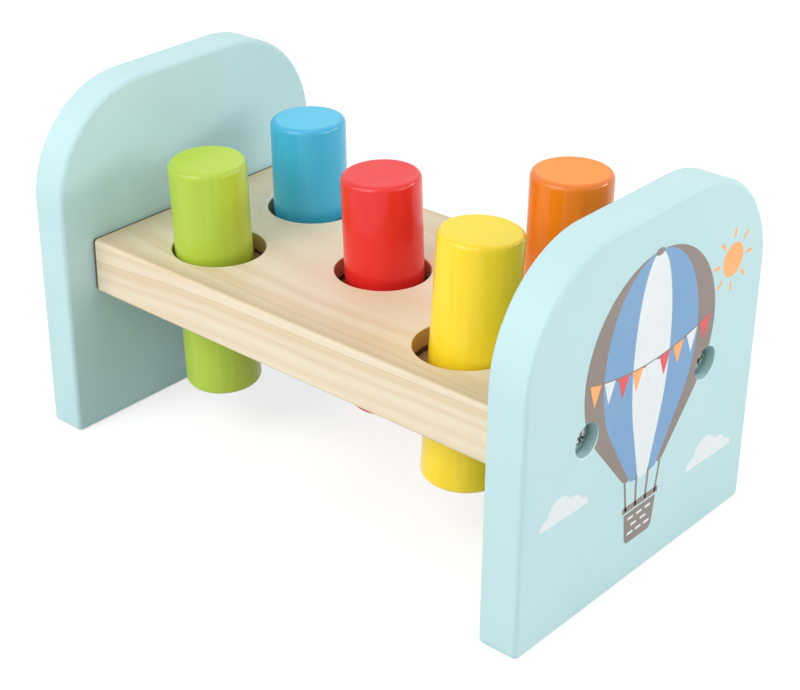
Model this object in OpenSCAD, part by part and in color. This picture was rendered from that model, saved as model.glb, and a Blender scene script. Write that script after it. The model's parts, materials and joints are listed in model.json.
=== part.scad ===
// A child's pounding bench. A pine plank is screwed between two painted end panels,
// and round pegs are hammered down through its holes. A rubber ring in each hole grips
// its peg, and the whole bench turns over to hammer the pegs back the other way.
// Millimetres. X runs along the plank, the front is -Y, and the floor is z = 0.

/* [Plank] */
// Length of the plank between the two end panels
plank_length = 205; // [190:1:260]
// Depth of the plank from front to back
plank_depth = 109; // [106:1:130]
// Thickness of the plank
plank_thickness = 22.5; // [18:0.5:28]
// Height of the plank's top face above the floor
plank_top_height = 81.5; // [65:0.5:95]
// Radius that eases the plank's long edges
plank_edge_round = 1.5; // [0.5:0.1:4]

/* [End panels] */
// Width of an end panel from front to back
panel_width = 137.5; // [126:0.5:160]
// Height of an end panel
panel_height = 141; // [130:1:170]
// Thickness of an end panel
panel_thickness = 16; // [13:0.5:20]
// Radius of the two big upper corners
panel_corner_radius = 44; // [20:1:55]
// Radius of the two lower corners that stand on the floor
panel_foot_radius = 2.5; // [1:0.1:8]
// Radius that rounds the panel's edges all the way round
panel_edge_round = 1.8; // [0.5:0.1:3]

/* [Holes] */
// Diameter of the peg holes, which is well over the pegs' own
hole_diameter = 36.4; // [34:0.1:38]
// Distance from the plank's end to the centres of the holes near it
hole_end_margin = 42; // [40:0.5:46]
// Distance from the middle hole to the outer holes across the plank
hole_reach_y = 26.5; // [25:0.25:28]
// Width of the small bevel round each hole's rim
hole_rim_bevel = 0.5; // [0.2:0.1:1.2]

/* [Pegs] */
// Diameter of the pegs
peg_diameter = 30; // [28:0.1:31]
// Length of a peg
peg_length = 94.5; // [70:0.5:110]
// Radius that rounds both ends of a peg
peg_end_round = 2.4; // [0.5:0.1:4]
// How far the green peg stands above the plank
green_rise = 36.5; // [20:0.5:60]
// How far the blue peg stands above the plank
blue_rise = 37; // [20:0.5:60]
// How far the red peg stands above the plank
red_rise = 38.5; // [20:0.5:60]
// How far the yellow peg stands above the plank
yellow_rise = 43.5; // [20:0.5:60]
// How far the orange peg stands above the plank
orange_rise = 48; // [20:0.5:60]

/* [How the pegs lean in their holes] */
// Green: where its axis crosses the upper mouth and the lower mouth, x and y, as shares of the play
green_lean_shares = [-0.36, -0.51, -0.30, -0.23]; // [-0.9:0.01:0.9]
// Blue: the same four shares
blue_lean_shares = [-0.41, 0.02, -0.28, 0.08]; // [-0.9:0.01:0.9]
// Red: the same four shares
red_lean_shares = [-0.05, 0.32, 0.16, 0.47]; // [-0.9:0.01:0.9]
// Yellow: the same four shares
yellow_lean_shares = [0.80, 0.34, 0.65, 0.02]; // [-0.9:0.01:0.9]
// Orange: the same four shares
orange_lean_shares = [0.65, 0.58, 0.63, 0.52]; // [-0.9:0.01:0.9]

/* [Grip rings] */
// Height of a rubber ring
ring_height = 5; // [3:0.1:7]
// Width of the rubber from its bore to its outside
ring_wall = 5.5; // [4:0.1:6]
// Radius that rounds the ring's edges
ring_edge_round = 1.2; // [0.3:0.1:1.4]
// Running clearance on the radius between a ring and its peg
ring_running_clearance = 0.05; // [0.02:0.01:0.1]
// Room that a ring has in its groove to lean with its peg, half above and half below
ring_lean_room = 3.2; // [3:0.1:5]
// Gap under the lowest edge of a ring in its groove
ring_seat_gap = 0.3; // [0.1:0.05:0.4]

/* [Screws] */
// Distance from the plank's long side to the screws near it
screw_side_margin = 19.5; // [14:0.5:24]
// Diameter of the round recess that a screw head sits in
screw_recess_diameter = 12.4; // [11.5:0.1:16]
// Depth of that recess in the panel's outer face
screw_recess_depth = 5; // [4:0.1:8]
// Diameter of a screw's head
screw_head_diameter = 10.6; // [8:0.1:11.5]
// Height of a screw's head
screw_head_height = 2.2; // [2:0.1:3.5]
// Diameter over a screw's thread
screw_diameter = 4; // [3:0.1:5]
// Diameter at the bottom of the thread
screw_root_diameter = 2.8; // [2:0.1:2.9]
// Length of a screw under its head
screw_length = 25; // [22:0.5:27]
// Length of a screw's point
screw_point_length = 4; // [2:0.5:6]
// Distance between the threads
screw_pitch = 1.8; // [1.2:0.1:2.5]
// Length of the smooth shank under the head
screw_shank_length = 9; // [6:0.5:11]
// Span of the cross in a screw's head
screw_cross_span = 5.6; // [3:0.1:6]
// Width of the cross's slots
screw_cross_slot = 1.2; // [0.8:0.1:1.6]
// Depth of the cross
screw_cross_depth = 1.6; // [1:0.1:1.8]
// Clearance on the radius round a screw in its hole
screw_hole_clearance = 0.05; // [0.02:0.01:0.2]

/* [Hidden] */
// How far a cutting shape runs past the surface it cuts
cut_overrun = 1;
round_facets = 96;
hull_facets = 48;
edge_facets = 24;
plank_mid_height = plank_top_height - plank_thickness / 2;
plank_bottom_height = plank_top_height - plank_thickness;
hole_reach_x = plank_length / 2 - hole_end_margin;
hole_radius = hole_diameter / 2;
peg_radius = peg_diameter / 2;
// The play is the even gap that a centred peg has all round in its hole
peg_play = hole_radius - peg_radius;
ring_bore_radius = peg_radius + ring_running_clearance;
ring_outer_radius = ring_bore_radius + ring_wall;
// The groove leaves each ring free to float sideways with its peg
groove_radius = ring_outer_radius + peg_play;
groove_height = ring_height + ring_lean_room;
groove_floor_height = plank_mid_height - groove_height / 2;
screw_reach_y = plank_depth / 2 - screw_side_margin;
screw_bore_radius = screw_diameter / 2 + screw_hole_clearance;
screw_thread_length = screw_length - screw_shank_length - screw_point_length;
screw_thread_count = floor(screw_thread_length / screw_pitch);
// Where the underside of a screw's head rests, measured from the middle of the bench
screw_seat_x = plank_length / 2 + panel_thickness - screw_recess_depth;
paint_aqua = [0.76, 0.89, 0.90];
pine = [0.90, 0.82, 0.68];
rubber_brown = [0.42, 0.31, 0.22];
screw_zinc = [0.55, 0.54, 0.52];

// Shapes that the sub-parts share

module rounded_rect(width, height, radius) {
    square([width - 2 * radius, height], center = true);
    square([width, height - 2 * radius], center = true);
    for (x = [-1, 1], y = [-1, 1])
        translate([x * (width / 2 - radius), y * (height / 2 - radius)])
            circle(r = radius, $fn = edge_facets);
}

// A solid of revolution whose half section is a rounded rectangle
module rounded_disc(radius, height, edge, facets) {
    rotate_extrude($fn = facets)
        intersection() {
            rounded_rect(2 * radius, height, edge);
            translate([0, -height])
                square([radius + cut_overrun, 2 * height]);
        }
}

// Puts its children at a hole's centre: column and row are -1, 0 or 1
module at_hole(column, row) {
    translate([column * hole_reach_x, row * hole_reach_y, 0])
        children();
}

// How far a peg's axis runs sideways between the two mouths of its hole, and the angle of its lean
function lean_run(lean_shares) = [lean_shares[0] - lean_shares[2], lean_shares[1] - lean_shares[3]] * peg_play;
function lean_angle(lean_shares) = atan2(norm(lean_run(lean_shares)), plank_thickness);

// Puts its children on a peg's axis, with z = 0 at the plank's top face
module on_peg_axis(lean_shares) {
    run = lean_run(lean_shares);
    translate([lean_shares[0] * peg_play, lean_shares[1] * peg_play, plank_top_height])
        rotate([0, lean_angle(lean_shares), atan2(run[1], run[0])])
            children();
}

// Turns a flat outline, drawn as x and y, to stand across the bench with its thickness along +X
module across_bench() {
    rotate([90, 0, 90])
        children();
}

// The plank

module peg_hole() {
    bevel_reach = hole_rim_bevel + cut_overrun;
    translate([0, 0, plank_bottom_height - cut_overrun])
        cylinder(h = plank_thickness + 2 * cut_overrun, r = hole_radius, $fn = round_facets);
    translate([0, 0, groove_floor_height])
        cylinder(h = groove_height, r = groove_radius, $fn = round_facets);
    translate([0, 0, plank_top_height - hole_rim_bevel])
        cylinder(h = bevel_reach, r1 = hole_radius, r2 = hole_radius + bevel_reach, $fn = round_facets);
    translate([0, 0, plank_bottom_height - cut_overrun])
        cylinder(h = bevel_reach, r1 = hole_radius + bevel_reach, r2 = hole_radius, $fn = round_facets);
}

module bench_plank() {
    color(pine)
        difference() {
            translate([-plank_length / 2, 0, plank_mid_height])
                across_bench()
                    linear_extrude(height = plank_length)
                        rounded_rect(plank_depth, plank_thickness, plank_edge_round);
            at_hole(0, 0)
                peg_hole();
            for (column = [-1, 1], row = [-1, 1])
                at_hole(column, row)
                    peg_hole();
            for (side = [-1, 1], row = [-1, 1])
                at_screw(side, row)
                    screw_bore();
        }
}

// The end panels

module panel_blank() {
    foot_edge = min(panel_edge_round, panel_foot_radius);
    hull()
        for (side = [-1, 1]) {
            translate([side * (panel_width / 2 - panel_corner_radius), panel_height - panel_corner_radius, 0])
                rounded_disc(panel_corner_radius, panel_thickness, panel_edge_round, hull_facets);
            translate([side * (panel_width / 2 - panel_foot_radius), panel_foot_radius, 0])
                rounded_disc(panel_foot_radius, panel_thickness, foot_edge, hull_facets / 2);
        }
}

module end_panel(side) {
    color(paint_aqua)
        difference() {
            translate([side * (plank_length + panel_thickness) / 2, 0, 0])
                across_bench()
                    panel_blank();
            for (row = [-1, 1])
                at_screw(side, row) {
                    screw_bore();
                    cylinder(h = screw_recess_depth + cut_overrun, d = screw_recess_diameter, $fn = round_facets);
                }
        }
}

module left_end_panel() { end_panel(-1); }
module right_end_panel() { end_panel(1); }

// The pegs

module peg(tint, column, row, rise, lean_shares) {
    color(tint)
        at_hole(column, row)
            on_peg_axis(lean_shares)
                translate([0, 0, rise - peg_length / 2])
                    rounded_disc(peg_radius, peg_length, peg_end_round, round_facets);
}

module green_peg() { peg([0.62, 0.78, 0.20], -1, -1, green_rise, green_lean_shares); }
module blue_peg() { peg([0.25, 0.66, 0.84], -1, 1, blue_rise, blue_lean_shares); }
module red_peg() { peg([0.88, 0.17, 0.15], 0, 0, red_rise, red_lean_shares); }
module yellow_peg() { peg([0.96, 0.86, 0.20], 1, -1, yellow_rise, yellow_lean_shares); }
module orange_peg() { peg([0.95, 0.50, 0.15], 1, 1, orange_rise, orange_lean_shares); }

// The rubber rings, each of which leans with its peg and lies on the floor of its groove

// How far the lowest edge of a leaning ring lies below the ring's centre
function ring_drop(lean) = ring_edge_round
    + (ring_height / 2 - ring_edge_round) * cos(lean)
    + (ring_outer_radius - ring_edge_round) * sin(lean);

module grip_ring(column, row, lean_shares) {
    lean = lean_angle(lean_shares);
    centre_height = groove_floor_height + ring_seat_gap + ring_drop(lean);
    color(rubber_brown)
        at_hole(column, row)
            on_peg_axis(lean_shares)
                translate([0, 0, (centre_height - plank_top_height) / cos(lean)])
                    rotate_extrude($fn = round_facets)
                        translate([ring_bore_radius + ring_wall / 2, 0])
                            rounded_rect(ring_wall, ring_height, ring_edge_round);
}

module green_grip_ring() { grip_ring(-1, -1, green_lean_shares); }
module blue_grip_ring() { grip_ring(-1, 1, blue_lean_shares); }
module red_grip_ring() { grip_ring(0, 0, red_lean_shares); }
module yellow_grip_ring() { grip_ring(1, -1, yellow_lean_shares); }
module orange_grip_ring() { grip_ring(1, 1, orange_lean_shares); }

// The screws: z = 0 is the underside of the head, and +z points out of the panel

module at_screw(side, row) {
    translate([side * screw_seat_x, row * screw_reach_y, plank_mid_height])
        rotate([0, side * 90, 0])
            children();
}

module screw_bore() {
    translate([0, 0, -screw_length - cut_overrun])
        cylinder(h = screw_length + 2 * cut_overrun, r = screw_bore_radius, $fn = round_facets);
}

// Half section of the shank, its thread and its point
function screw_outline() = concat(
    [[0, 0], [screw_diameter / 2, 0], [screw_diameter / 2, -screw_shank_length]],
    [for (turn = [0 : screw_thread_count - 1], half_turn = [0, 1])
        [half_turn == 0 ? screw_root_diameter / 2 : screw_diameter / 2,
         -screw_shank_length - (turn + (half_turn + 1) / 2) * screw_pitch]],
    [[screw_root_diameter / 2, -screw_length + screw_point_length], [0, -screw_length]]);

module screw_head() {
    // A shallow dome: a ball that passes through the rim's top edge and the head's crown
    rim_height = screw_head_height / 2;
    dome_height = screw_head_height - rim_height;
    dome_radius = (pow(screw_head_diameter / 2, 2) + pow(dome_height, 2)) / (2 * dome_height);
    difference() {
        intersection() {
            cylinder(h = screw_head_height, d = screw_head_diameter, $fn = round_facets);
            translate([0, 0, screw_head_height - dome_radius])
                sphere(r = dome_radius, $fn = round_facets);
        }
        for (turn = [0, 1])
            rotate([0, 0, turn * 90])
                translate([-screw_cross_span / 2, -screw_cross_slot / 2, screw_head_height - screw_cross_depth])
                    cube([screw_cross_span, screw_cross_slot, screw_cross_depth + cut_overrun]);
    }
}

module screw(side, row) {
    color(screw_zinc)
        at_screw(side, row) {
            screw_head();
            rotate_extrude($fn = round_facets)
                polygon(screw_outline());
        }
}

module left_front_screw() { screw(-1, -1); }
module left_rear_screw() { screw(-1, 1); }
module right_front_screw() { screw(1, -1); }
module right_rear_screw() { screw(1, 1); }

bench_plank();
left_end_panel();
right_end_panel();
green_peg();
blue_peg();
red_peg();
yellow_peg();
orange_peg();
green_grip_ring();
blue_grip_ring();
red_grip_ring();
yellow_grip_ring();
orange_grip_ring();
left_front_screw();
left_rear_screw();
right_front_screw();
right_rear_screw();
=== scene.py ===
import json
from math import cos, hypot, pi, radians, sin, sqrt, tan

import bmesh
import bpy
from mathutils import Matrix, Quaternion, Vector


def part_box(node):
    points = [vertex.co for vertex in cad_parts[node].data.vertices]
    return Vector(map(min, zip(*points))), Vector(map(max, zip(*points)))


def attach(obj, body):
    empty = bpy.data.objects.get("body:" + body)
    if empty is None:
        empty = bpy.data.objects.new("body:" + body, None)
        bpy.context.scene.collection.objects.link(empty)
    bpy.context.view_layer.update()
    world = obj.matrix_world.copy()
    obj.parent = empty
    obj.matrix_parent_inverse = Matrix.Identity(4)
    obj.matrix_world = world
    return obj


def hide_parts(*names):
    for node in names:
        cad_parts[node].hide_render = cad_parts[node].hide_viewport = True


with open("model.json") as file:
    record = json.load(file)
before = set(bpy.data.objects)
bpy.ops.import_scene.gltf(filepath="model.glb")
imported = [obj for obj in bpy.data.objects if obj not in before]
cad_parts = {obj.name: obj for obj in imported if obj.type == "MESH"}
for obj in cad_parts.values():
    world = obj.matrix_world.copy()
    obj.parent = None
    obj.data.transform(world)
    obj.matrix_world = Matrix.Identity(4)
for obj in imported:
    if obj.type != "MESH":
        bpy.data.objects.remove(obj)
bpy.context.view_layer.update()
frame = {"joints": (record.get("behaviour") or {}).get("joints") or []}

MM = 0.001
UP = Vector((0, 0, 1))
ALONG = Vector((1, 0, 0))

PEG_COLOURS = ("green", "blue", "red", "yellow", "orange")
SCREWS = ("left_front_screw", "left_rear_screw", "right_front_screw", "right_rear_screw")

# Sizes, as the construction has them. The steps at the plank's ends, the eased recess rims and
# the small bevel under the screw heads are the dressing's own.
PLANK_EDGE_ROUND = 1.5 * MM
# The last of each end is stepped in, with painted shade on it: a thin dark line at the panels
PLANK_END_STEP = 1.4 * MM
PLANK_END_INSET = 0.3 * MM
PANEL_CORNER_RADIUS = 44 * MM
PANEL_FOOT_RADIUS = 2.5 * MM
PANEL_EDGE_ROUND = 1.8 * MM
HOLE_RADIUS = 18.2 * MM
HOLE_RIM_EASE = 0.5 * MM
# Points of a hole deeper than this belong to its wall, and the rest to its eased rim
HOLE_RIM_DEPTH = HOLE_RIM_EASE * 0.8
HOLE_REACH_X = 60.5 * MM
HOLE_REACH_Y = 26.5 * MM
GROOVE_RADIUS = 23.75 * MM
GROOVE_HEIGHT = 8.2 * MM
PEG_RADIUS = 15 * MM
PEG_LENGTH = 94.5 * MM
PEG_END_ROUND = 2.4 * MM
# A ring of points on each flat end
PEG_END_RING = PEG_RADIUS * 0.55
RING_HEIGHT = 5 * MM
RING_BORE_RADIUS = 15.05 * MM
RING_OUTER_RADIUS = 20.55 * MM
RING_EDGE_ROUND = 1.2 * MM
RECESS_RADIUS = 6.2 * MM
RECESS_DEPTH = 5 * MM
RECESS_RIM_EASE = 0.35 * MM
SCREW_HEAD_RADIUS = 5.3 * MM
SCREW_HEAD_HEIGHT = 2.2 * MM
SCREW_RADIUS = 2 * MM
SCREW_ROOT_RADIUS = 1.4 * MM
SCREW_LENGTH = 25 * MM
SCREW_SHANK_LENGTH = 9 * MM
SCREW_POINT_LENGTH = 4 * MM
SCREW_PITCH = 1.8 * MM
SCREW_BORE_RADIUS = 2.05 * MM
CROSS_SPAN = 5.6 * MM
CROSS_SLOT = 1.2 * MM
CROSS_DEPTH = 1.6 * MM
SCREW_HEAD_EDGE = 0.2 * MM
# Where the thread's crest begins and ends and its root is reached, as shares of the pitch
THREAD_CREST_FROM = 0.35
THREAD_CREST_TO = 0.45
THREAD_ROOT = 0.75
# The turn of the first screw's slots, and how far each next screw is turned on, in degrees
SCREW_FIRST_TURN = 17
SCREW_NEXT_TURN = 31
# How far a cutter runs past what it cuts
OVERRUN = 1 * MM
# A point this close to a face or an edge lies on it
HAIR = 0.01 * MM
# A face looks along an axis if this much of its normal does
FACING = 0.9
# Turns an upright cutter to lie along the plank
LYING = (0, pi / 2, 0)
# The printed inks lie in this much room under the panel's full thickness, in three levels
INK_ROOM = 0.1 * MM
INK_LEVEL = 0.03 * MM
SMOOTH_BELOW = radians(32)

# How finely the round forms are cut
CORNER_SEGMENTS = 36
EDGE_SEGMENTS = 6
RIM_SEGMENTS = 3
PEG_END_STEPS = 7
RING_EDGE_STEPS = 5
SCREW_DOME_STEPS = 8
HOLE_SIDES = 128
GROOVE_SIDES = 96
RECESS_SIDES = 72
DRILL_SIDES = 32
PEG_SIDES = 128
RING_SIDES = 96
SCREW_SIDES = 64


# Shader maths: plain arithmetic on a Tone adds the nodes

class Tone:
    """One number or colour on its way through a recipe of nodes."""

    def __init__(self, recipe, socket):
        self.recipe = recipe
        self.socket = socket

    def maths(self, operation, first, second=0.0):
        return self.recipe.node("ShaderNodeMath", {"operation": operation}, {0: first, 1: second})

    def __add__(self, other):
        return self.maths("ADD", self, other)

    def __radd__(self, other):
        return self.maths("ADD", other, self)

    def __sub__(self, other):
        return self.maths("SUBTRACT", self, other)

    def __rsub__(self, other):
        return self.maths("SUBTRACT", other, self)

    def __mul__(self, other):
        return self.maths("MULTIPLY", self, other)

    def __rmul__(self, other):
        return self.maths("MULTIPLY", other, self)

    def __truediv__(self, other):
        return self.maths("DIVIDE", self, other)

    def __pow__(self, power):
        return self.maths("POWER", self, power)

    def fraction(self):
        return self.maths("FRACT", self)

    def whole(self):
        return self.maths("FLOOR", self)

    def at_least(self, other):
        return self.maths("MAXIMUM", self, other)

    def between(self, low, high):
        """0 below low, 1 above high and a smooth rise in between."""
        return self.recipe.node(
            "ShaderNodeMapRange",
            {"interpolation_type": "SMOOTHSTEP"},
            {"Value": self, "From Min": low, "From Max": high})


class Recipe:
    """A tree of shader nodes that is made up one node at a time."""

    def __init__(self, tree):
        self.tree = tree
        tree.nodes.clear()

    def node(self, kind, settings=None, sockets=None, result=0):
        """Adds a node: its own settings first, and then what its sockets hold or are linked to."""
        made = self.tree.nodes.new(kind)
        for setting, value in (settings or {}).items():
            if setting == "stops":
                stops = made.color_ramp.elements
                while len(stops) < len(value):
                    stops.new(1.0)
                for stop, (position, tone) in zip(stops, value):
                    stop.position = position
                    stop.color = tone
            elif setting == "ramp_curve":
                made.color_ramp.interpolation = value
            else:
                setattr(made, setting, value)
        for socket, value in (sockets or {}).items():
            if isinstance(value, Tone):
                self.tree.links.new(value.socket, made.inputs[socket])
            else:
                made.inputs[socket].default_value = value
        return Tone(self, made.outputs[result]) if made.outputs else None

    def place(self, stretch=(1, 1, 1), turn=(0, 0, 0), shift=(0, 0, 0)):
        """The surface's point on the object itself, stretched for a pattern with a direction."""
        point = self.node("ShaderNodeTexCoord", result="Object")
        return self.node(
            "ShaderNodeMapping", {"vector_type": "POINT"},
            {"Vector": point, "Location": shift, "Rotation": turn, "Scale": stretch})

    def parts(self, point):
        """The x, y and z of a point."""
        split = self.node("ShaderNodeSeparateXYZ", sockets={"Vector": point})
        return [Tone(self, output) for output in split.socket.node.outputs]

    def noise(self, point, scale=1.0, detail=2.0, roughness=0.5):
        """Soft noise around 0.5."""
        return self.node(
            "ShaderNodeTexNoise", {"noise_dimensions": "3D"},
            {"Vector": point, "Scale": scale, "Detail": detail, "Roughness": roughness})

    def wander(self, value, scale):
        """Noise along a single number."""
        return self.node(
            "ShaderNodeTexNoise", {"noise_dimensions": "1D"},
            {"W": value, "Scale": scale, "Detail": 1.0})

    def chance(self, value):
        """A random number for each whole number."""
        return self.node("ShaderNodeTexWhiteNoise", {"noise_dimensions": "1D"}, {"W": value})

    def ramp(self, value, stops):
        """A smooth run of grey levels, each at its position from 0 to 1."""
        greys = [(position, (level, level, level, 1)) for position, level in stops]
        return self.node(
            "ShaderNodeValToRGB", {"ramp_curve": "EASE", "stops": greys}, {"Fac": value})

    def mix(self, share, first, second):
        """Lays the second colour over the first by a share from 0 to 1."""
        return self.node(
            "ShaderNodeMix", {"data_type": "RGBA"}, {0: share, 6: first, 7: second}, result=2)

    def lay(self, colour, mask, coat):
        """Lays a coat, which is its strength and its colour, over a colour where the mask is 1."""
        strength, tint = coat
        return self.mix(mask * strength, colour, tint)

    def marked(self, name):
        """A mark that the piece carries on its points, such as the one along its rounded edges."""
        return self.node("ShaderNodeAttribute", {"attribute_name": name}, result="Fac")

    def bump(self, height, depth, over=None):
        """Relief of this depth in metres, on top of another relief if there is one."""
        sockets = {"Height": height, "Distance": depth}
        if over is not None:
            sockets["Normal"] = over
        return self.node("ShaderNodeBump", sockets=sockets)


def ink(red, green, blue):
    """A colour as it is read off a screen, from 0 to 255, in the linear form that shaders use."""
    def linear(level):
        level = level / 255
        return level / 12.92 if level <= 0.04045 else ((level + 0.055) / 1.055) ** 2.4
    return (linear(red), linear(green), linear(blue), 1.0)


def finish_named(name, mixing):
    """A material whose recipe is written by mixing(recipe), which returns the surface's sockets."""
    material = bpy.data.materials.new(name)
    material.use_nodes = True
    recipe = Recipe(material.node_tree)
    surface = recipe.node("ShaderNodeBsdfPrincipled", sockets=mixing(recipe))
    recipe.node("ShaderNodeOutputMaterial", sockets={"Surface": surface})
    return material


# Materials. A coat is a strength and the colour that it lays over what is under it.

# The heart of the tree, from which the rings are struck: far below the plank, behind its middle
HEART_Y = 22 * MM
HEART_Z = -58 * MM
# How much the heart shifts to the front and down for each metre to the right
HEART_DRIFT_Y = 0.13
HEART_DRIFT_Z = 0.04
# How wide a year's ring is, and how far the rings swing and ripple
RING_WIDTH = 5.0 * MM
RING_WAVE = 8.0 * MM
RING_RIPPLE = RING_WAVE / 6
# How uneven the years are, and how dark the palest year's late wood is
YEAR_WANDER = 0.6
PALEST_YEAR = 0.30
# How the wood darkens through one year
YEAR_DARKNESS = (
    (0.0, 0.22), (0.12, 0.05), (0.30, 0.10), (0.55, 0.52), (0.76, 1.0), (0.90, 0.70), (1.0, 0.22))
FALSE_RINGS_A_YEAR = 2.7
EARLY_WOOD = ink(238, 226, 200)
LATE_WOOD = ink(224, 201, 164)
FALSE_RING = (0.15, ink(217, 189, 148))
YEAR_LINE = (0.42, ink(197, 160, 116))
BLUSH = (0.34, ink(229, 204, 172))
STREAK = (0.18, ink(213, 186, 146))
FIBRE = (0.22, ink(198, 166, 125))
# Painted light: the board is painted paler from near its front edge to this far behind its middle
PAINTED_BACK_LIGHT = (0.50, ink(250, 238, 212))
PAINTED_LIGHT_FROM_Y = -45 * MM
PAINTED_LIGHT_TO_Y = 30 * MM
# Painted shade on the rounded edges, against the light that they catch
PAINTED_EDGE_SHADE = (0.95, ink(208, 187, 154))
# The hole walls in a deeper brown: partly the darker drilled grain, partly painted shade
BORE_GRAIN_AND_SHADE = (0.80, ink(204, 164, 116))
# A painted highlight on the eased rims of the holes
HOLE_RIM_HIGHLIGHT = (0.95, ink(253, 243, 220))
# Painted shade on the stepped ends, in the gap at the panels
PAINTED_END_SHADE = (0.95, ink(84, 74, 48))


def pine(recipe):
    """Flat-sawn pine: wide soft bands on the top that close up into narrower ones at the front."""
    x, y, z = recipe.parts(recipe.place())
    slow = recipe.noise(recipe.place(stretch=(8, 15, 15)), detail=1.0, roughness=0.4)
    quick = recipe.noise(recipe.place(stretch=(26, 90, 90)), roughness=0.6)
    blush = recipe.noise(recipe.place(stretch=(11, 30, 30), shift=(3, 1, 2)))
    fibre = recipe.noise(recipe.place(stretch=(34, 900, 900)), roughness=0.6)
    streak = recipe.noise(
        recipe.place(stretch=(13, 230, 230), shift=(5, 0, 1)), detail=3.0, roughness=0.6)

    across = y - HEART_Y + x * HEART_DRIFT_Y
    above = z - HEART_Z + x * HEART_DRIFT_Z
    reach = (across * across + above * above) ** 0.5
    struck = reach + (slow - 0.5) * RING_WAVE + (quick - 0.5) * RING_RIPPLE
    count = struck / RING_WIDTH
    count = count + (recipe.wander(count, 0.9) - 0.5) * YEAR_WANDER
    year = recipe.chance(count.whole())
    share = count.fraction()
    late = recipe.ramp(share, YEAR_DARKNESS) * (PALEST_YEAR + year * (1 - PALEST_YEAR))
    line = share.between(0.84, 0.91) * (1 - share.between(0.93, 0.99)) * year.between(0.35, 0.90)
    within = (count * FALSE_RINGS_A_YEAR).fraction()
    thin = within.between(0.20, 0.75) * (1 - within.between(0.80, 1.0))
    thin = thin * recipe.chance(count.whole() + 40).between(0.2, 0.9)

    colour = recipe.mix(late, EARLY_WOOD, LATE_WOOD)
    colour = recipe.lay(colour, thin, FALSE_RING)
    colour = recipe.lay(colour, line, YEAR_LINE)
    colour = recipe.lay(colour, blush.between(0.46, 0.74), BLUSH)
    colour = recipe.lay(colour, streak.between(0.50, 0.76), STREAK)
    colour = recipe.lay(colour, (fibre - 0.5).at_least(0.0), FIBRE)
    # Painted light: paler towards the back, where the top lies in shade
    colour = recipe.lay(colour, y.between(PAINTED_LIGHT_FROM_Y, PAINTED_LIGHT_TO_Y), PAINTED_BACK_LIGHT)
    # Painted shade on the rounded edges
    colour = recipe.lay(colour, recipe.marked("edge"), PAINTED_EDGE_SHADE)
    # The hole walls: darker grain and painted shade
    colour = recipe.lay(colour, recipe.marked("bore"), BORE_GRAIN_AND_SHADE)
    # Painted highlight on the hole rims
    colour = recipe.lay(colour, recipe.marked("rim"), HOLE_RIM_HIGHLIGHT)
    # Painted shade on the stepped ends
    colour = recipe.lay(colour, recipe.marked("end").between(0.0, 0.2), PAINTED_END_SHADE)
    return {
        "Base Color": colour,
        "Roughness": 0.50 + (fibre - 0.5) * 0.20 - late * 0.05,
        "Specular IOR Level": 0.28,
        "Coat Weight": 0.06,
        "Coat Roughness": 0.35,
        "Normal": recipe.bump(fibre + late * 0.4, 0.025 * MM),
    }


AQUA = ink(190, 224, 227)
PALER_AQUA = ink(196, 227, 230)
AQUA_PEEL = (0.20, ink(210, 236, 238))
# Painted shade on the rounded edges, against the light that they catch
AQUA_EDGE_SHADE = (0.45, ink(184, 216, 219))
RECESS_SHADE = (1.0, ink(118, 160, 158))
# A painted highlight on the lower side of the recess rims
RECESS_RIM_HIGHLIGHT = (1.0, ink(226, 246, 246))


def aqua_paint(recipe):
    """Sprayed satin paint on a smooth board, with painted shade on its rounded edges."""
    cloud = recipe.noise(recipe.place(), 16.0)
    peel = recipe.noise(recipe.place(), 320.0, roughness=0.55)
    dust = recipe.noise(recipe.place(shift=(2, 4, 1)), 900.0, detail=1.0)
    grain = recipe.noise(recipe.place(stretch=(260, 520, 22)))
    colour = recipe.mix(cloud.between(0.30, 0.70), AQUA, PALER_AQUA)
    colour = recipe.lay(colour, (peel - 0.5).at_least(0.0), AQUA_PEEL)
    # Painted shade on the rounded edges
    colour = recipe.lay(colour, recipe.marked("edge"), AQUA_EDGE_SHADE)
    colour = recipe.lay(colour, recipe.marked("recess"), RECESS_SHADE)
    # Painted highlight on the lower rims of the recesses
    colour = recipe.lay(colour, recipe.marked("rim"), RECESS_RIM_HIGHLIGHT)
    soft = recipe.bump(grain, 0.02 * MM)
    return {
        "Base Color": colour,
        "Roughness": 0.42 + (peel - 0.5) * 0.18 + (cloud - 0.5) * 0.10,
        "Specular IOR Level": 0.18,
        "Normal": recipe.bump(peel + dust * 0.35, 0.020 * MM, over=soft),
    }


# How much of the deep or the bright paint shows in each part of a peg
PEG_BAND_SHOWS = 0.14
PEG_GRAIN_SHOWS = 0.62
PEG_CLOUD_SHOWS = 0.12
# Painted shade: how much of the deep colour the rounded ends take, against the light they catch
PEG_EDGE_SHADE = 0.30
# The pegs' gloss: its mean, its unevenness, and what the rounded edges add and the flat ends lack
PEG_GLOSS = 0.52
PEG_GLOSS_CLOUD = 0.24
PEG_GLOSS_EDGE = 0.35
PEG_GLOSS_CAP = 0.20


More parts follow.
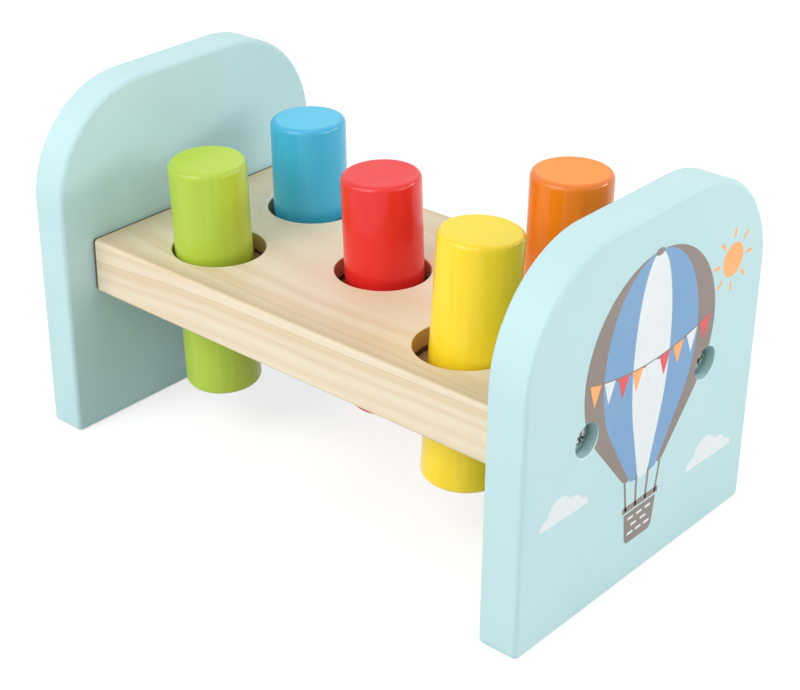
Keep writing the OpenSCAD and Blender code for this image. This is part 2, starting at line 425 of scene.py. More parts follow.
def peg_paint(deep, body, bright, turn, shift):
    """Satin paint over turned wood: the grain shows through a little, along the peg."""
    def mixing(recipe):
        grain = recipe.noise(
            recipe.place(stretch=(520, 520, 11), turn=turn, shift=shift), roughness=0.6)
        band = recipe.noise(recipe.place(stretch=(120, 120, 7), turn=turn, shift=shift))
        peel = recipe.noise(recipe.place(shift=shift), 240.0)
        cloud = recipe.noise(recipe.place(shift=shift), 45.0)
        drips = recipe.noise(recipe.place(shift=shift), 150.0, detail=1.0)
        edge = recipe.marked("edge")
        cap = recipe.marked("cap")
        colour = recipe.lay(body, band.between(0.40, 0.80), (PEG_BAND_SHOWS, deep))
        colour = recipe.lay(colour, (grain - 0.48).at_least(0.0), (PEG_GRAIN_SHOWS, deep))
        colour = recipe.lay(colour, cloud.between(0.45, 0.80), (PEG_CLOUD_SHOWS, bright))
        # Painted shade on the rounded ends
        colour = recipe.lay(colour, edge, (PEG_EDGE_SHADE, deep))
        # Painted light: the flat ends take the bright colour, set for the light and sheen on them
        colour = recipe.mix(cap, colour, bright)
        gloss = PEG_GLOSS + (cloud - 0.5) * PEG_GLOSS_CLOUD + edge * PEG_GLOSS_EDGE
        ribs = recipe.bump(grain + band * 0.5, 0.022 * MM)
        bead = recipe.bump(drips * edge, 0.5 * MM, over=ribs)
        return {
            "Base Color": colour,
            "Roughness": 0.42 + (peel - 0.5) * 0.14 + (grain - 0.5) * 0.08,
            "Specular IOR Level": 0.15,
            "Coat Weight": gloss - cap * PEG_GLOSS_CAP,
            "Coat Roughness": 0.13,
            "Normal": recipe.bump(peel, 0.025 * MM, over=bead),
        }
    return mixing


def printed(colour, pale):
    """Screen-printed ink with a fine uneven tooth."""
    def mixing(recipe):
        cloud = recipe.noise(recipe.place(), 45.0, detail=3.0)
        tooth = recipe.noise(recipe.place(), 800.0, detail=1.0)
        tint = recipe.lay(colour, cloud.between(0.35, 0.75), (0.5, pale))
        tint = recipe.lay(tint, (tooth - 0.5).at_least(0.0), (0.35, pale))
        return {
            "Base Color": tint,
            "Roughness": 0.46 + (tooth - 0.5) * 0.16,
            "Specular IOR Level": 0.4,
            "Normal": recipe.bump(tooth + cloud, 0.012 * MM),
        }
    return mixing


GUM_BROWN = ink(158, 122, 84)
GUM_BLOOM = ink(184, 148, 108)


def rubber(recipe):
    """Brown gum rubber, slightly dusty."""
    bloom = recipe.noise(recipe.place(), 190.0, detail=3.0)
    tooth = recipe.noise(recipe.place(), 1400.0, detail=1.0)
    return {
        "Base Color": recipe.mix(bloom.between(0.4, 0.75), GUM_BROWN, GUM_BLOOM),
        "Roughness": 0.62 + (bloom - 0.5) * 0.3,
        "Specular IOR Level": 0.35,
        "Normal": recipe.bump(tooth + bloom, 0.05 * MM),
    }


ZINC = ink(204, 210, 208)
ZINC_SHADE = ink(122, 136, 134)
ZINC_GLINT = (0.9, ink(246, 249, 248))


def zinc(recipe):
    """Rough zinc plating: pale crystals that glint, with darker patches between them."""
    patch = recipe.noise(recipe.place(), 420.0, detail=3.0)
    crystal = recipe.noise(recipe.place(shift=(1, 2, 3)), 1500.0, detail=1.0)
    scratch = recipe.noise(recipe.place(stretch=(2600, 500, 2600), turn=(0, 0, 0.6)))
    glint = crystal.between(0.54, 0.66)
    colour = recipe.lay(recipe.mix(patch.between(0.35, 0.70), ZINC, ZINC_SHADE), glint, ZINC_GLINT)
    return {
        "Base Color": colour,
        "Metallic": 1.0,
        "Roughness": 0.34 + (patch - 0.4) * 0.35 - glint * 0.14,
        "Normal": recipe.bump(scratch * 0.5 + patch + crystal * 1.6, 0.16 * MM),
    }


# Modelling, as by hand

def clear_choice():
    bpy.ops.object.select_all(action="DESELECT")


def take(piece):
    """Makes this piece the only one selected, and the active one."""
    clear_choice()
    piece.select_set(True)
    bpy.context.view_layer.objects.active = piece


def named(name):
    """Names the piece that was just added."""
    piece = bpy.context.object
    piece.name = name
    piece.data.name = name
    return piece


def set_in_place(piece):
    """Keeps the piece's place, turn and scale in its mesh."""
    take(piece)
    bpy.ops.object.transform_apply(location=True, rotation=True, scale=True)


def block(name, low, high):
    """A box between two corners."""
    clear_choice()
    bpy.ops.mesh.primitive_cube_add(size=1, location=(low + high) / 2)
    piece = named(name)
    piece.scale = high - low
    set_in_place(piece)
    return piece


def dowels(places, radius, length, sides, turn=(0, 0, 0)):
    """Straight round cutters at the places, as one object."""
    made = []
    for place in places:
        clear_choice()
        bpy.ops.mesh.primitive_cylinder_add(
            vertices=sides, radius=radius, depth=length, location=place, rotation=turn)
        made.append(bpy.context.object)
    take(made[0])
    for dowel in made:
        dowel.select_set(True)
    if len(made) > 1:
        bpy.ops.object.join()
    set_in_place(made[0])
    return made[0]


def apply_modifier(piece, name):
    take(piece)
    bpy.ops.object.modifier_apply(modifier=name)


def cut(piece, cutter):
    """Takes the cutter's shape out of the piece and throws the cutter away."""
    saw = piece.modifiers.new("saw", "BOOLEAN")
    saw.operation = "DIFFERENCE"
    saw.solver = "EXACT"
    saw.object = cutter
    apply_modifier(piece, saw.name)
    bpy.data.objects.remove(cutter)


def shaped(piece, choose, work):
    """In edit mode: selects the edges that choose(edge) picks out, and then does the work."""
    take(piece)
    bpy.ops.object.mode_set(mode="EDIT")
    bpy.context.tool_settings.mesh_select_mode = (False, True, False)
    bpy.ops.mesh.select_all(action="DESELECT")
    cage = bmesh.from_edit_mesh(piece.data)
    for edge in cage.edges:
        if choose(edge):
            edge.select_set(True)
    bmesh.update_edit_mesh(piece.data)
    work()
    bpy.ops.object.mode_set(mode="OBJECT")


def round_edges(piece, choose, radius, segments):
    shaped(piece, choose, lambda: bpy.ops.mesh.bevel(
        offset_type="OFFSET", offset=radius, segments=segments, profile=0.5,
        affect="EDGES", clamp_overlap=False))


def turned(name, section, sides):
    """A turned piece: its half section is drawn point by point and spun round the Z axis."""
    clear_choice()
    bpy.ops.mesh.primitive_plane_add(size=1 * MM)
    piece = named(name)
    bpy.ops.object.mode_set(mode="EDIT")
    bpy.context.tool_settings.mesh_select_mode = (True, False, False)
    bpy.ops.mesh.select_all(action="SELECT")
    bpy.ops.mesh.merge(type="CENTER")
    points = [Vector((across, 0, height)) for across, height in section]
    bpy.ops.transform.translate(value=points[0])
    for here, there in zip(points, points[1:]):
        bpy.ops.mesh.extrude_region_move(TRANSFORM_OT_translate={"value": there - here})
    bpy.ops.mesh.select_all(action="SELECT")
    bpy.ops.mesh.spin(steps=sides, angle=2 * pi, center=(0, 0, 0), axis=(0, 0, 1))
    bpy.ops.mesh.select_all(action="SELECT")
    bpy.ops.mesh.remove_doubles(threshold=0.001 * MM)
    bpy.ops.mesh.normals_make_consistent(inside=False)
    bpy.ops.object.mode_set(mode="OBJECT")
    return piece


def copy_of(piece, name):
    """A copy with a mesh of its own."""
    take(piece)
    bpy.ops.object.duplicate(linked=False)
    return named(name)


def quarter_round(centre, radius, start, steps):
    """Points of a quarter turn from the start angle, in degrees."""
    return [
        (centre[0] + radius * cos(radians(start + 90 * step / steps)),
         centre[1] + radius * sin(radians(start + 90 * step / steps)))
        for step in range(steps + 1)]


def mark(piece, name, rule):
    """Writes a number from 0 to 1 on every point of a piece, which its material reads by name."""
    marks = piece.data.attributes.new(name, "FLOAT", "POINT")
    for point, entry in zip(piece.data.vertices, marks.data):
        entry.value = rule(point)


def mark_edges(piece, axis):
    """Marks the rounded edges between faces along the axis and faces across it."""
    halfway = 1 - sqrt(0.5)

    def rounding(point):
        along = min(1.0, abs(point.normal.dot(axis)))
        across = sqrt(1 - along * along)
        return min(1.0, (1 - max(along, across)) / halfway)

    mark(piece, "edge", rounding)


def finish_piece(piece, material, body, node=None, axis=UP):
    """Smooths, marks and paints a piece, and lets it ride on its body in place of its node."""
    take(piece)
    mark_edges(piece, axis)
    bpy.ops.object.shade_smooth_by_angle(angle=SMOOTH_BELOW)
    bpy.ops.object.modifier_add(type="WEIGHTED_NORMAL")
    piece.modifiers[-1].keep_sharp = True
    apply_modifier(piece, piece.modifiers[-1].name)
    piece.data.materials.clear()
    piece.data.materials.append(material)
    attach(piece, body)
    if node:
        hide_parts(node)


def middle(node):
    """The middle of the construction's piece."""
    low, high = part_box(node)
    return (low + high) / 2


# The plank

def make_plank(material):
    low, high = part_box("bench_plank")
    step = ALONG * PLANK_END_STEP
    plank = block("bench_plank_pine", low + step, high - step)

    def long_edge(edge):
        first, second = edge.verts
        return abs(first.co.x - second.co.x) > (high.x - low.x) / 2

    round_edges(plank, long_edge, PLANK_EDGE_ROUND, EDGE_SEGMENTS)
    step_ends(plank)
    centre_z = (low.z + high.z) / 2
    holes = [Vector((0, 0, centre_z))] + [
        Vector((column * HOLE_REACH_X, row * HOLE_REACH_Y, centre_z))
        for column in (-1, 1) for row in (-1, 1)]
    cut(plank, dowels(holes, HOLE_RADIUS, high.z - low.z + 2 * OVERRUN, HOLE_SIDES))
    cut(plank, dowels(holes, GROOVE_RADIUS, GROOVE_HEIGHT, GROOVE_SIDES))
    cut(plank, screw_drills())

    def from_hole(point):
        return min(hypot(point.co.x - hole.x, point.co.y - hole.y) for hole in holes)

    def from_face(point):
        return min(abs(point.co.z - low.z), abs(high.z - point.co.z))

    def rim_edge(edge):
        return edge.calc_length() < 2 * OVERRUN and all(
            from_face(vert) < HAIR and abs(from_hole(vert) - HOLE_RADIUS) < 2 * HAIR
            for vert in edge.verts)

    def at_end(point):
        return 1.0 if abs(point.co.x) > high.x - PLANK_END_STEP / 2 else 0.0

    def in_bore(point):
        under_rim = from_face(point) > HOLE_RIM_DEPTH
        return 1.0 if under_rim and from_hole(point) < GROOVE_RADIUS + 10 * HAIR else 0.0

    def on_rim(point):
        eased = HAIR < from_face(point) < HOLE_RIM_DEPTH
        return 1.0 if eased and from_hole(point) < HOLE_RADIUS + OVERRUN else 0.0

    round_edges(plank, rim_edge, HOLE_RIM_EASE, RIM_SEGMENTS)
    # Marks for painted shade on the ends and in the bores, and a painted highlight on the rims
    mark(plank, "end", at_end)
    mark(plank, "bore", in_bore)
    mark(plank, "rim", on_rim)
    finish_piece(plank, material, "bench", "bench_plank")


def step_ends(plank):
    """Leaves a slightly smaller step standing out of each end."""
    take(plank)
    bpy.ops.object.mode_set(mode="EDIT")
    bpy.context.tool_settings.mesh_select_mode = (False, False, True)
    bpy.ops.mesh.select_all(action="DESELECT")
    cage = bmesh.from_edit_mesh(plank.data)
    for face in cage.faces:
        face.select_set(abs(face.normal.x) > FACING)
    bmesh.update_edit_mesh(plank.data)
    bpy.ops.mesh.inset(thickness=PLANK_END_INSET)
    bpy.ops.mesh.extrude_region_shrink_fatten(TRANSFORM_OT_shrink_fatten={"value": PLANK_END_STEP})
    bpy.ops.object.mode_set(mode="OBJECT")


def screw_drills():
    """The bores of all the screws, as one cutter."""
    places = [middle(node) for node in SCREWS]
    reach = max(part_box(SCREWS[0])[1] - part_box(SCREWS[0])[0]) + 2 * OVERRUN
    return dowels(places, SCREW_BORE_RADIUS, reach, DRILL_SIDES, LYING)


# The end panels

# How strongly the recess shade shows low on a recess's floor, high on its wall and high on its rim
RECESS_LOW_FLOOR = 0.50
RECESS_HIGH_WALL = 0.45
RECESS_HIGH_RIM = 0.75


def recess_places(screws, face):
    """The points of a panel's face at which the recesses of these screws are sunk."""
    places = []
    for node in screws:
        place = middle(node)
        places.append(Vector((face, place.y, place.z)))
    return places


def make_panels(material):
    low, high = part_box("left_end_panel")
    outer = low.x + INK_ROOM
    panel = block("left_end_panel_painted", Vector((outer, low.y, low.z)), high)

    def corner_at(height):
        def choose(edge):
            first, second = edge.verts
            return abs(first.co.y - second.co.y) < HAIR and all(
                abs(abs(vert.co.y) - high.y) < HAIR and abs(vert.co.z - height) < HAIR
                for vert in edge.verts)
        return choose

    def perimeter(edge):
        sides = [abs(face.normal.x) for face in edge.link_faces]
        return len(sides) == 2 and max(sides) > FACING and min(sides) < 1 - FACING

    round_edges(panel, corner_at(high.z), PANEL_CORNER_RADIUS, CORNER_SEGMENTS)
    round_edges(panel, corner_at(low.z), PANEL_FOOT_RADIUS, EDGE_SEGMENTS)
    round_edges(panel, perimeter, PANEL_EDGE_ROUND, EDGE_SEGMENTS)
    recesses = recess_places(SCREWS[:2], low.x)
    cut(panel, dowels(recesses, RECESS_RADIUS, 2 * RECESS_DEPTH, RECESS_SIDES, LYING))
    cut(panel, screw_drills())

    def from_recess(point):
        return min(hypot(point.co.y - place.y, point.co.z - place.z) for place in recesses)

    def recess_rim(edge):
        return all(
            abs(vert.co.x - outer) < HAIR and abs(from_recess(vert) - RECESS_RADIUS) < 2 * HAIR
            for vert in edge.verts)

    round_edges(panel, recess_rim, RECESS_RIM_EASE, RIM_SEGMENTS)

    def lowness(point, reach):
        """From 0 to 1 on the way down past a recess's middle, over this reach."""
        return min(1.0, max(0.0, 0.5 - (point.co.z - recesses[0].z) / reach))

    def on_rim(point):
        sunk = abs(outer) - abs(point.co.x)
        eased = RECESS_RIM_EASE * 0.05 < sunk < RECESS_RIM_EASE * 0.95
        return eased and from_recess(point) < RECESS_RADIUS + RECESS_RIM_EASE

    # The lower side of a recess's eased rim, which takes a painted highlight
    def low_rim(point):
        return lowness(point, RECESS_RADIUS) if on_rim(point) else 0.0

    def in_recess(point):
        raised = abs(point.co.x) - (abs(outer) - RECESS_DEPTH)
        inside = from_recess(point) < RECESS_RADIUS + RECESS_RIM_EASE / 4 and raised > -HAIR
        if not inside:
            return 0.0
        low_down = lowness(point, 2 * RECESS_RADIUS)
        if raised < RECESS_DEPTH / 2:
            return 1.0 - (1.0 - RECESS_LOW_FLOOR) * low_down
        return RECESS_HIGH_WALL * (1.0 - low_down)

    def shade(point):
        sunk = in_recess(point)
        return max(sunk, RECESS_HIGH_RIM - low_rim(point)) if on_rim(point) else sunk

    # Marks for painted shade in the recesses and upper rims, and a painted highlight on lower rims
    mark(panel, "recess", shade)
    mark(panel, "rim", low_rim)
    twin = copy_of(panel, "right_end_panel_painted")
    twin.rotation_euler = (0, 0, pi)
    set_in_place(twin)
    for piece, node in ((panel, "left_end_panel"), (twin, "right_end_panel")):
        finish_piece(piece, material, "bench", node, axis=ALONG)


# The pegs and their rings

def slide_axis(colour):
    """The slightly leaning line along which the peg of this colour slides."""
    for joint in frame["joints"]:
        if joint["child"] == colour + "_peg":
            return Vector(joint["axis"])


def stand(piece, centre, axis):
    """Leans an upright piece onto the axis and puts its middle at the centre."""
    piece.rotation_mode = "QUATERNION"
    piece.rotation_quaternion = UP.rotation_difference(axis)
    piece.location = centre
    set_in_place(piece)


def make_pegs(materials):
    half = PEG_LENGTH / 2
    bend = (PEG_RADIUS - PEG_END_ROUND, half - PEG_END_ROUND)
    top = quarter_round(bend, PEG_END_ROUND, 0, PEG_END_STEPS)
    bottom = [(across, -height) for across, height in reversed(top)]
    section = [(0, -half), (PEG_END_RING, -half)] + bottom + top + [(PEG_END_RING, half), (0, half)]
    blank = turned("peg_blank", section, PEG_SIDES)

    def on_end(point):
        return 1.0 if abs(point.co.z) > half - HAIR else 0.0

    for colour in PEG_COLOURS:
        node = colour + "_peg"
        peg = copy_of(blank, node + "_turned")
        axis = slide_axis(colour)
        # The flat ends, which take the bright colour as painted light
        mark(peg, "cap", on_end)
        stand(peg, middle(node), axis)
        finish_piece(peg, materials[colour], node, node, axis=axis)
    bpy.data.objects.remove(blank)


def make_rings(material):
    half = RING_HEIGHT / 2
    ease = RING_EDGE_ROUND
    inner = RING_BORE_RADIUS + ease
    outer = RING_OUTER_RADIUS - ease
    section = (
        quarter_round((outer, half - ease), ease, 0, RING_EDGE_STEPS)
        + quarter_round((inner, half - ease), ease, 90, RING_EDGE_STEPS)
        + quarter_round((inner, ease - half), ease, 180, RING_EDGE_STEPS)
        + quarter_round((outer, ease - half), ease, 270, RING_EDGE_STEPS))
    section.append(section[0])
    blank = turned("ring_blank", section, RING_SIDES)
    for colour in PEG_COLOURS:
        node = colour + "_grip_ring"
        ring = copy_of(blank, node + "_moulded")
        axis = slide_axis(colour)
        stand(ring, middle(node), axis)
        finish_piece(ring, material, "bench", node, axis=axis)
    bpy.data.objects.remove(blank)


# The screws

def screw_section():
    """Half of a screw's outline, from its point up to the middle of its domed head."""
    section = [(0, -SCREW_LENGTH), (SCREW_ROOT_RADIUS, -SCREW_LENGTH + SCREW_POINT_LENGTH)]
    thread_room = SCREW_LENGTH - SCREW_SHANK_LENGTH - SCREW_POINT_LENGTH
    for turn in reversed(range(int(thread_room / SCREW_PITCH))):
        root = -SCREW_SHANK_LENGTH - (turn + 1) * SCREW_PITCH
        section.append((SCREW_RADIUS, root + SCREW_PITCH * THREAD_CREST_FROM))
        section.append((SCREW_RADIUS, root + SCREW_PITCH * THREAD_CREST_TO))
        section.append((SCREW_ROOT_RADIUS, root + SCREW_PITCH * THREAD_ROOT))
    section += [(SCREW_RADIUS, -SCREW_SHANK_LENGTH), (SCREW_RADIUS, 0)]

    rim = SCREW_HEAD_HEIGHT / 2
    dome = SCREW_HEAD_HEIGHT - rim
    ball = (SCREW_HEAD_RADIUS ** 2 + dome ** 2) / (2 * dome)
    section.append((SCREW_HEAD_RADIUS - SCREW_HEAD_EDGE, 0))
    section.append((SCREW_HEAD_RADIUS, SCREW_HEAD_EDGE))
    section.append((SCREW_HEAD_RADIUS, rim))
    for step in range(1, SCREW_DOME_STEPS + 1):
        across = SCREW_HEAD_RADIUS * (1 - step / SCREW_DOME_STEPS)
        section.append((across, rim + sqrt(ball ** 2 - across ** 2) - (ball - dome)))
    return section


def make_screws(material):
    blank = turned("screw_blank", screw_section(), SCREW_SIDES)
    floor = SCREW_HEAD_HEIGHT - CROSS_DEPTH
    for span, slot in ((CROSS_SPAN, CROSS_SLOT), (CROSS_SLOT, CROSS_SPAN)):
        half = Vector((span / 2, slot / 2, 0))
        cut(blank, block("slot", -half + UP * floor, half + UP * (SCREW_HEAD_HEIGHT + OVERRUN)))
    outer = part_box("right_end_panel")[1].x
    for index, node in enumerate(SCREWS):
        screw = copy_of(blank, node + "_plated")
        place = middle(node)
        side = 1 if place.x > 0 else -1
        turn = Quaternion(UP, radians(SCREW_FIRST_TURN + SCREW_NEXT_TURN * index))
        screw.rotation_mode = "QUATERNION"
        screw.rotation_quaternion = UP.rotation_difference(ALONG * side) @ turn
        screw.location = (side * (outer - RECESS_DEPTH), place.y, place.z)
        set_in_place(screw)
        finish_piece(screw, material, "bench", node, axis=ALONG)
    bpy.data.objects.remove(blank)


# The print on the right panel's outer face: a balloon over small clouds. It is drawn in
# millimetres as it is seen from outside, across to the right and up from the floor.

# Points of a drawing that are closer than this become one
INK_WELD = 0.0005

BALLOON_MIDDLE = 88
BALLOON_RADIUS = 38
BALLOON_STEPS = 30
# Where the straight sides begin and the gores stop, in degrees up from the balloon's widest line
SHOULDER = -40
CROWN = 88
MOUTH_HEIGHT = 43
MOUTH_SAG = 2.4
MOUTH_STEPS = 6
# Where one colour of gore gives way to the next, as shares of the half width
WHITE_GORE = 0.28
BLUE_GORE = 0.72

GARLAND_HEIGHT = 85.0
GARLAND_RISE = 6.0
STRING_REACH = 37
STRING_WIDTH = 1.0
PENNANT_WIDTH = 6.4
PENNANT_DROP = 8.2
PENNANT_PLACES = (-32, -24, -16, -8, 0, 8, 16, 24, 32)

# The middle and the radius of each of a cloud's puffs
CLOUD_PUFFS = ((-9.4, 4.0), (-2.4, 6.8), (5.6, 5.2), (11.4, 3.4))
CLOUD_STEPS = 60

DISC_STEPS = 28
SUN_ACROSS = 47
SUN_UP = 106
SUN_RADIUS = 6.4
RAY_FROM = 8.4
RAY_TO = 12.0
RAY_WIDTH = 1.3

BASKET = ((-9.6, 28.6), (-8.2, 17.4), (-6.8, 15.8), (6.8, 15.8), (8.2, 17.4), (9.6, 28.6))
BASKET_RIM_HEIGHT = 30.6
BASKET_RIM_REACH = 10.6
BASKET_RIM_WIDTH = 2.4
# The ropes run from these places at the mouth down to the basket, and close in on the way
ROPE_PLACES = (-3.6, -10.6, 3.6, 10.6)
ROPE_TOP = MOUTH_HEIGHT - 0.6
ROPE_FOOT = 30.0
ROPE_CLOSING = 0.82
ROPE_WIDTH = 1.1
# The height of each row of the weave, and where its strokes start
WEAVE_ROWS = ((26.0, (-7.0, -1.8, 3.4)), (22.8, (-4.8, 0.9)), (19.6, (-6.6, -1.7, 3.2)))
WEAVE_LENGTH = 3.4
WEAVE_WIDTH = 1.0


def balloon_half_width(height):
    """Half of the balloon's width: round above, and straight on from there to its mouth."""
    shoulder = BALLOON_MIDDLE + BALLOON_RADIUS * sin(radians(SHOULDER))
    if height >= shoulder:
        return sqrt(max(0, BALLOON_RADIUS ** 2 - (height - BALLOON_MIDDLE) ** 2))
    return BALLOON_RADIUS * cos(radians(SHOULDER)) - (shoulder - height) * tan(radians(-SHOULDER))


def balloon_heights():
    """The heights at which the outline of a gore has points, from the mouth upwards."""
    turn = CROWN - SHOULDER
    top = [
        BALLOON_MIDDLE + BALLOON_RADIUS * sin(radians(SHOULDER + turn * step / BALLOON_STEPS))
        for step in range(BALLOON_STEPS + 1)]
    return [MOUTH_HEIGHT, (MOUTH_HEIGHT + top[0]) / 2] + top


def gore(left, right):
    """One strip of the balloon, between two shares of its half width."""
    heights = balloon_heights()
    up_side = [(right * balloon_half_width(height), height) for height in heights]
    down_side = [(left * balloon_half_width(height), height) for height in reversed(heights)]
    shares = [left + (right - left) * step / MOUTH_STEPS for step in range(1, MOUTH_STEPS)]
    mouth = [
        (share * balloon_half_width(MOUTH_HEIGHT), MOUTH_HEIGHT - MOUTH_SAG * (1 - share ** 2))
        for share in shares]
    return up_side + down_side + mouth


def disc(across, up, radius, flat=1.0):
    """A round spot, flattened if flat is under 1."""
    turns = [2 * pi * step / DISC_STEPS for step in range(DISC_STEPS)]
    return [(across + radius * cos(turn), up + flat * radius * sin(turn)) for turn in turns]


def cloud(across, up, scale):
    """A cloud of round puffs, cut off straight below."""
    first, last = CLOUD_PUFFS[0], CLOUD_PUFFS[-1]
    left, right = first[0] - first[1], last[0] + last[1]
    outline = []
    for step in range(CLOUD_STEPS + 1):
        x = left + (right - left) * step / CLOUD_STEPS
        tops = [
            radius + sqrt(max(0, radius * radius - (x - puff) ** 2))
            for puff, radius in CLOUD_PUFFS if abs(x - puff) <= radius + INK_WELD]
        outline.append((across + scale * x, up + scale * max(tops)))
    return outline


def bar(start, end, width):
    """A straight stroke from one point to another."""
    start, end = Vector(start), Vector(end)
    run = end - start
    side = Vector((-run.y, run.x)).normalized() * width / 2
    return [tuple(corner) for corner in (start - side, end - side, end + side, start + side)]


def garland_height(across):
    return GARLAND_HEIGHT + GARLAND_RISE * (across / BALLOON_RADIUS) ** 2


def pennant(across):
    """A small flag that hangs from the garland and leans a little with it."""
    left, right = across - PENNANT_WIDTH / 2, across + PENNANT_WIDTH / 2
    lean = 2 * GARLAND_RISE * across / BALLOON_RADIUS ** 2
    return [
        (left, garland_height(left)),
        (across + lean, garland_height(across) - PENNANT_DROP),
        (right, garland_height(right))]


def sun_rays(across, up):
    rays = []
    for turn in range(0, 360, 45):
        away = Vector((cos(radians(turn)), sin(radians(turn))))
        centre = Vector((across, up))
        rays.append(bar(centre + away * RAY_FROM, centre + away * RAY_TO, RAY_WIDTH))
    return rays


def film(name, outlines, level, material, face, recesses=()):
    """A thin layer of one ink, from its outlines, that leaves the screw recesses free."""
    drawing = bpy.data.curves.new(name, "CURVE")
    drawing.dimensions = "2D"
    drawing.fill_mode = "BOTH"
    drawing.extrude = (level * INK_LEVEL + INK_LEVEL) / MM / 2
    for outline in outlines:
        line = drawing.splines.new("POLY")
        line.points.add(len(outline) - 1)
        for point, (across, up) in zip(line.points, outline):
            point.co = (across, up, 0, 1)
        line.use_cyclic_u = True
    layer = bpy.data.objects.new(name, drawing)
    bpy.context.scene.collection.objects.link(layer)
    take(layer)
    bpy.ops.object.convert(target="MESH")
    layer = bpy.context.object
    layer.data.name = name
    bpy.ops.object.mode_set(mode="EDIT")
    bpy.ops.mesh.select_all(action="SELECT")
    bpy.ops.mesh.remove_doubles(threshold=INK_WELD)
    bpy.ops.mesh.normals_make_consistent(inside=False)
    bpy.ops.object.mode_set(mode="OBJECT")
    # Its back is sunk in the paint by one level, and its front stands out by its own level
    depth = face + (level - 1) * INK_LEVEL / 2
    on_panel = Matrix(((0, 0, 1, depth), (1, 0, 0, 0), (0, 1, 0, 0), (0, 0, 0, 1)))
    layer.matrix_world = on_panel @ Matrix.Scale(MM, 4)
    set_in_place(layer)
    if recesses:
        free = RECESS_RADIUS + RECESS_RIM_EASE * 0.8
        cut(layer, dowels(recesses, free, 2 * RECESS_DEPTH, RECESS_SIDES, LYING))
    finish_piece(layer, material, "bench", axis=ALONG)


def make_print():
    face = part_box("right_end_panel")[1].x - INK_ROOM
    recesses = recess_places(SCREWS[2:], face)
    slate = finish_named("print_slate_blue", printed(ink(119, 162, 203), ink(130, 170, 207)))
    brown = finish_named("print_brown_grey", printed(ink(139, 126, 119), ink(148, 136, 129)))
    white = finish_named("print_white", printed(ink(230, 236, 237), ink(237, 241, 242)))
    orange = finish_named("print_orange", printed(ink(255, 176, 108), ink(255, 186, 122)))
    red = finish_named("print_red", printed(ink(226, 86, 92), ink(232, 98, 102)))

    blue_gores = [gore(-BLUE_GORE, -WHITE_GORE), gore(WHITE_GORE, BLUE_GORE)]
    film("print_blue_gores", blue_gores, 1, slate, face)
    film("print_brown_gores", [gore(-1, -BLUE_GORE), gore(BLUE_GORE, 1)], 1, brown, face, recesses)
    film("print_white_gore", [gore(-WHITE_GORE, WHITE_GORE)], 1, white, face)
    film("print_clouds", [cloud(-46, 42, 0.95), cloud(43, 24, 1.05)], 1, white, face)
    sun = disc(SUN_ACROSS, SUN_UP, SUN_RADIUS)
    film("print_sun", [sun] + sun_rays(SUN_ACROSS, SUN_UP), 1, orange, face)

    film("print_basket", [BASKET], 1, brown, face)
    ropes = [
        bar((across, ROPE_TOP), (across * ROPE_CLOSING, ROPE_FOOT), ROPE_WIDTH)
        for across in ROPE_PLACES]
    rim = bar(
        (-BASKET_RIM_REACH, BASKET_RIM_HEIGHT), (BASKET_RIM_REACH, BASKET_RIM_HEIGHT),
        BASKET_RIM_WIDTH)
    crown = disc(0, 125.6, 2.6, flat=0.5)
    film("print_ropes", ropes + [rim, crown], 2, brown, face)
    weave = [
        bar((across, height), (across + WEAVE_LENGTH, height), WEAVE_WIDTH)
        for height, starts in WEAVE_ROWS for across in starts]
    film("print_weave", weave, 2, white, face)

    knots = range(-STRING_REACH, STRING_REACH + 1)
    string = [(across, garland_height(across) + STRING_WIDTH / 2) for across in knots]
    string += [(across, garland_height(across) - STRING_WIDTH / 2) for across in reversed(knots)]
    film("print_string", [string], 2, brown, face)
    flags = [pennant(across) for across in PENNANT_PLACES]
    film("print_orange_flags", flags[0::3], 3, orange, face)
    film("print_white_flags", flags[1::3], 3, white, face)
    film("print_red_flags", flags[2::3], 3, red, face)


# The floor, the light and the camera

# The floor's own tone, and what the camera sees on top of it so that it shows white. The light
# falls off away from the bench, so what is added rises between these two distances.
FLOOR_TONE = 0.62
FLOOR_GLOW = 0.56
FLOOR_NEAR = 0.35
FLOOR_FAR = 1.1
FLOOR_SIZE = 6
WHITE = (1, 1, 1, 1)


def seen_directly(recipe):
    """1 where the camera looks straight at a thing, or sees it in gloss, metal or glass."""
    rays = recipe.node("ShaderNodeLightPath").socket.node.outputs
    seen = Tone(recipe, rays["Is Camera Ray"]).at_least(Tone(recipe, rays["Is Glossy Ray"]))
    return seen.at_least(Tone(recipe, rays["Is Transmission Ray"]))


def make_floor():
    clear_choice()
    bpy.ops.mesh.primitive_plane_add(size=FLOOR_SIZE)
    floor = named("pale_floor")

    material = bpy.data.materials.new("pale_floor")
    material.use_nodes = True
    recipe = Recipe(material.node_tree)
    seen = seen_directly(recipe)
    tone = (FLOOR_TONE, FLOOR_TONE, FLOOR_TONE, 1)
    matt = recipe.node("ShaderNodeBsdfDiffuse", sockets={"Color": tone})
    across, deep, _ = recipe.parts(recipe.place())
    away = ((across * across + deep * deep) ** 0.5).between(FLOOR_NEAR, FLOOR_FAR)
    strength = seen * (FLOOR_GLOW + away * (1 - FLOOR_GLOW))
    glow = recipe.node("ShaderNodeEmission", sockets={"Color": WHITE, "Strength": strength})
    both = recipe.node("ShaderNodeAddShader", sockets={0: matt, 1: glow})
    recipe.node("ShaderNodeOutputMaterial", sockets={"Surface": both})
    floor.data.materials.append(material)


# How much of its white the room sheds on the bench. The camera sees all of it.
AMBIENT = 0.50


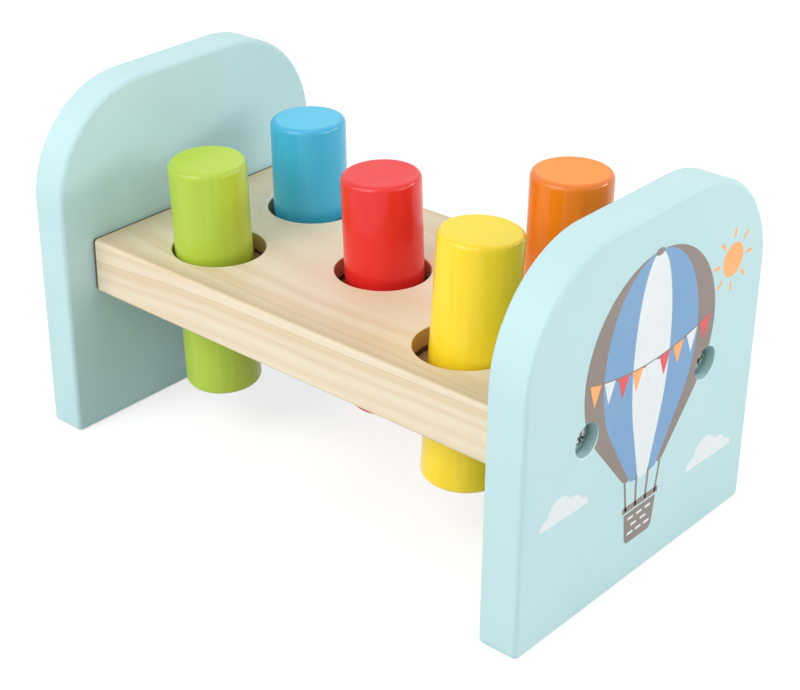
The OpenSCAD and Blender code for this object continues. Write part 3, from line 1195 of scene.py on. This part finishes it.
def make_world():
    world = bpy.data.worlds.new("white_room")
    bpy.context.scene.world = world
    world.use_nodes = True
    recipe = Recipe(world.node_tree)
    strength = AMBIENT + seen_directly(recipe) * (1 - AMBIENT)
    light = recipe.node("ShaderNodeBackground", sockets={"Color": WHITE, "Strength": strength})
    recipe.node("ShaderNodeOutputWorld", sockets={"Surface": light})


# The lamps stand this far from the point of the bench that they face
LAMP_DISTANCE = 1.3
LAMP_AIM = UP * 60 * MM


def make_lamp(name, azimuth, elevation, width, height, power):
    """A soft lamp that faces the bench. Azimuth 0 is in front, and 90 is at the printed end."""
    clear_choice()
    turn, rise = radians(azimuth), radians(elevation)
    back = Vector((sin(turn) * cos(rise), -cos(turn) * cos(rise), sin(rise)))
    bpy.ops.object.light_add(type="AREA", location=back * LAMP_DISTANCE + LAMP_AIM)
    lamp = bpy.context.object
    lamp.name = name
    lamp.rotation_mode = "QUATERNION"
    lamp.rotation_quaternion = (-back).to_track_quat("-Z", "Y")
    lamp.data.shape = "RECTANGLE"
    lamp.data.size = width
    lamp.data.size_y = height
    lamp.data.energy = power


CAMERA_PLACE = Vector((0.396223, -0.454603, 0.371766))
CAMERA_AZIMUTH = 44.0625
CAMERA_ELEVATION = 27.83
CAMERA_ROLL = -1.1097
CAMERA_LENS = 80.464
CAMERA_SENSOR = 36
CAMERA_SHIFT = (0.125, -0.011)


def make_camera():
    clear_choice()
    bpy.ops.object.camera_add(location=CAMERA_PLACE)
    camera = bpy.context.object
    camera.name = "camera"
    turn, rise = radians(CAMERA_AZIMUTH), radians(CAMERA_ELEVATION)
    ahead = Vector((-sin(turn) * cos(rise), cos(turn) * cos(rise), -sin(rise)))
    camera.rotation_mode = "QUATERNION"
    roll = Quaternion(UP, radians(CAMERA_ROLL))
    camera.rotation_quaternion = ahead.to_track_quat("-Z", "Y") @ roll
    camera.data.sensor_width = CAMERA_SENSOR
    camera.data.lens = CAMERA_LENS
    camera.data.shift_x, camera.data.shift_y = CAMERA_SHIFT
    bpy.context.scene.camera = camera


def peg_materials():
    """Each peg's paint, from its deep, its plain and its bright colour."""
    # The deep colour also paints shade on the rounded ends; the bright one, light on the flat ends
    paints = {
        "green": (ink(144, 172, 24), ink(179, 208, 65), ink(176, 208, 47)),
        "blue": (ink(34, 141, 189), ink(65, 182, 222), ink(75, 193, 229)),
        "red": (ink(198, 30, 28), ink(233, 42, 38), ink(232, 26, 28)),
        "yellow": (ink(232, 180, 8), ink(253, 222, 40), ink(245, 217, 12)),
        "orange": (ink(204, 88, 8), ink(240, 130, 16), ink(249, 143, 8)),
    }
    made = {}
    for index, colour in enumerate(PEG_COLOURS):
        lean = UP.rotation_difference(slide_axis(colour)).inverted().to_euler()
        # Another part of the pattern for each peg
        shift = (index * 3.1, index * 1.7, 0.0)
        paint = peg_paint(*paints[colour], tuple(lean), shift)
        made[colour] = finish_named(colour + "_peg_paint", paint)
    return made


make_camera()
make_floor()
make_world()
make_lamp("overhead_softbox", 0, 78, 1.0, 1.0, 1.1)
make_lamp("front_softbox", -12, 36, 0.9, 0.9, 6.95)
make_lamp("right_front_softbox", 15, 38, 1.0, 1.0, 2.75)
make_lamp("right_softbox", 100, 20, 0.6, 0.5, 3.8)
make_lamp("right_rear_softbox", 136, 22, 0.5, 0.22, 3.7)
make_lamp("rear_softbox", -150, 45, 1.0, 1.0, 1.7)
make_lamp("left_strip_for_glints", -40, 25, 0.4, 0.15, 1.3)

make_plank(finish_named("natural_pine", pine))
make_panels(finish_named("aqua_paint", aqua_paint))
make_pegs(peg_materials())
make_rings(finish_named("brown_rubber", rubber))
make_screws(finish_named("zinc_plating", zinc))
make_print()

bpy.context.scene.view_settings.view_transform = "Standard"
